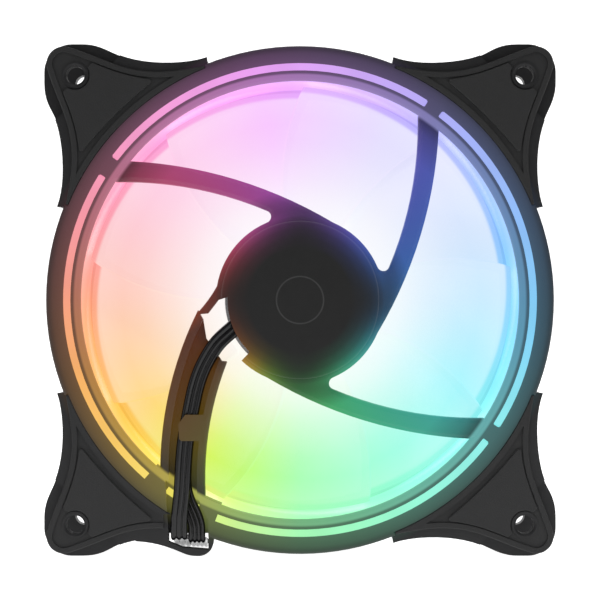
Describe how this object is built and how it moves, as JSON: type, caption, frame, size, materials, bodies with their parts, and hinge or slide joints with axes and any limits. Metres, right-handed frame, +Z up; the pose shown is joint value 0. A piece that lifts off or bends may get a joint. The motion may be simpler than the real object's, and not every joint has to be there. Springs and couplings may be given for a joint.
{
  "type": "case fan",
  "caption": "Square computer case fan with a lit ring and a clear rotor, with its ribbon cables coiled behind it.",
  "frame": {"origin": "the fan's centre: on the shaft's axis, halfway between the faces of the front and rear pads", "axes": "+Y along the shaft towards the intake, so the strut side faces -Y; +Z up; +X to the right as seen from the strut side. The fan stands on its two lower ears at z = -0.06"},
  "size_m": [0.12, 0.0787, 0.12],
  "materials": {
    "black_plastic": "fine spark-eroded grain",
    "black_rubber": "matte, fine grain",
    "frosted_guide": "translucent white, diffusing",
    "clear_rotor": "clear with a light frost",
    "white_board": "white solder mask",
    "green_board": "green solder mask",
    "led": "white package with a clear window",
    "chip": "moulded epoxy",
    "cap_plastic": "satin",
    "label_film": "matte film, no print",
    "brass": "turned",
    "bronze": "sintered, oil-filled",
    "steel": "ground",
    "core_steel": "stacked laminations",
    "yoke_steel": "drawn, zinc plated",
    "magnet": "bonded ferrite, dull",
    "former": "natural nylon",
    "copper_wire": "enamelled, wound",
    "black_wire": "satin insulation",
    "black_housing": "moulded",
    "tie": "soft, matte"
  },
  "bodies": {
    "frame": {"rear_frame": "black_plastic", "front_frame": "black_plastic", "light_guide": "frosted_guide", "halo_ring": "frosted_guide", "led_board": "white_board", "ring_leds": "led", "rear_pad_1": "black_rubber", "rear_pad_2": "black_rubber", "rear_pad_3": "black_rubber", "rear_pad_4": "black_rubber", "front_pad_1": "black_rubber", "front_pad_2": "black_rubber", "front_pad_3": "black_rubber", "front_pad_4": "black_rubber", "bearing_tube": "brass", "bearing_sleeve": "bronze", "oil_seal": "cap_plastic", "thrust_plate": "cap_plastic", "bearing_cap": "cap_plastic", "stator_core": "core_steel", "rear_insulator": "former", "front_insulator": "former", "stator_windings": "copper_wire", "motor_board": "green_board", "driver_chip": "chip", "hub_leds": "led", "hub_label": "label_film", "fan_cable_run": "black_wire", "argb_cable_run": "black_wire", "fan_cable": "black_wire", "argb_cable": "black_wire", "fan_cable_coil": "black_wire", "argb_cable_coil": "black_wire", "fan_plug": "black_housing", "argb_plug": "black_housing", "fan_plug_contacts": "steel", "argb_plug_contacts": "steel", "coil_ties": "tie"},
    "rotor": {"impeller": "clear_rotor", "hub_cap": "clear_rotor", "rotor_yoke": "yoke_steel", "rotor_magnet": "magnet", "shaft_bush": "brass", "shaft": "steel", "shaft_clip": "former"}
  },
  "joints": [
    {"name": "rotor_spin", "type": "hinge", "parent": "frame", "child": "rotor", "pos_m": [0, 0, 0], "axis": [0, 1, 0], "continuous": true}
  ]
}
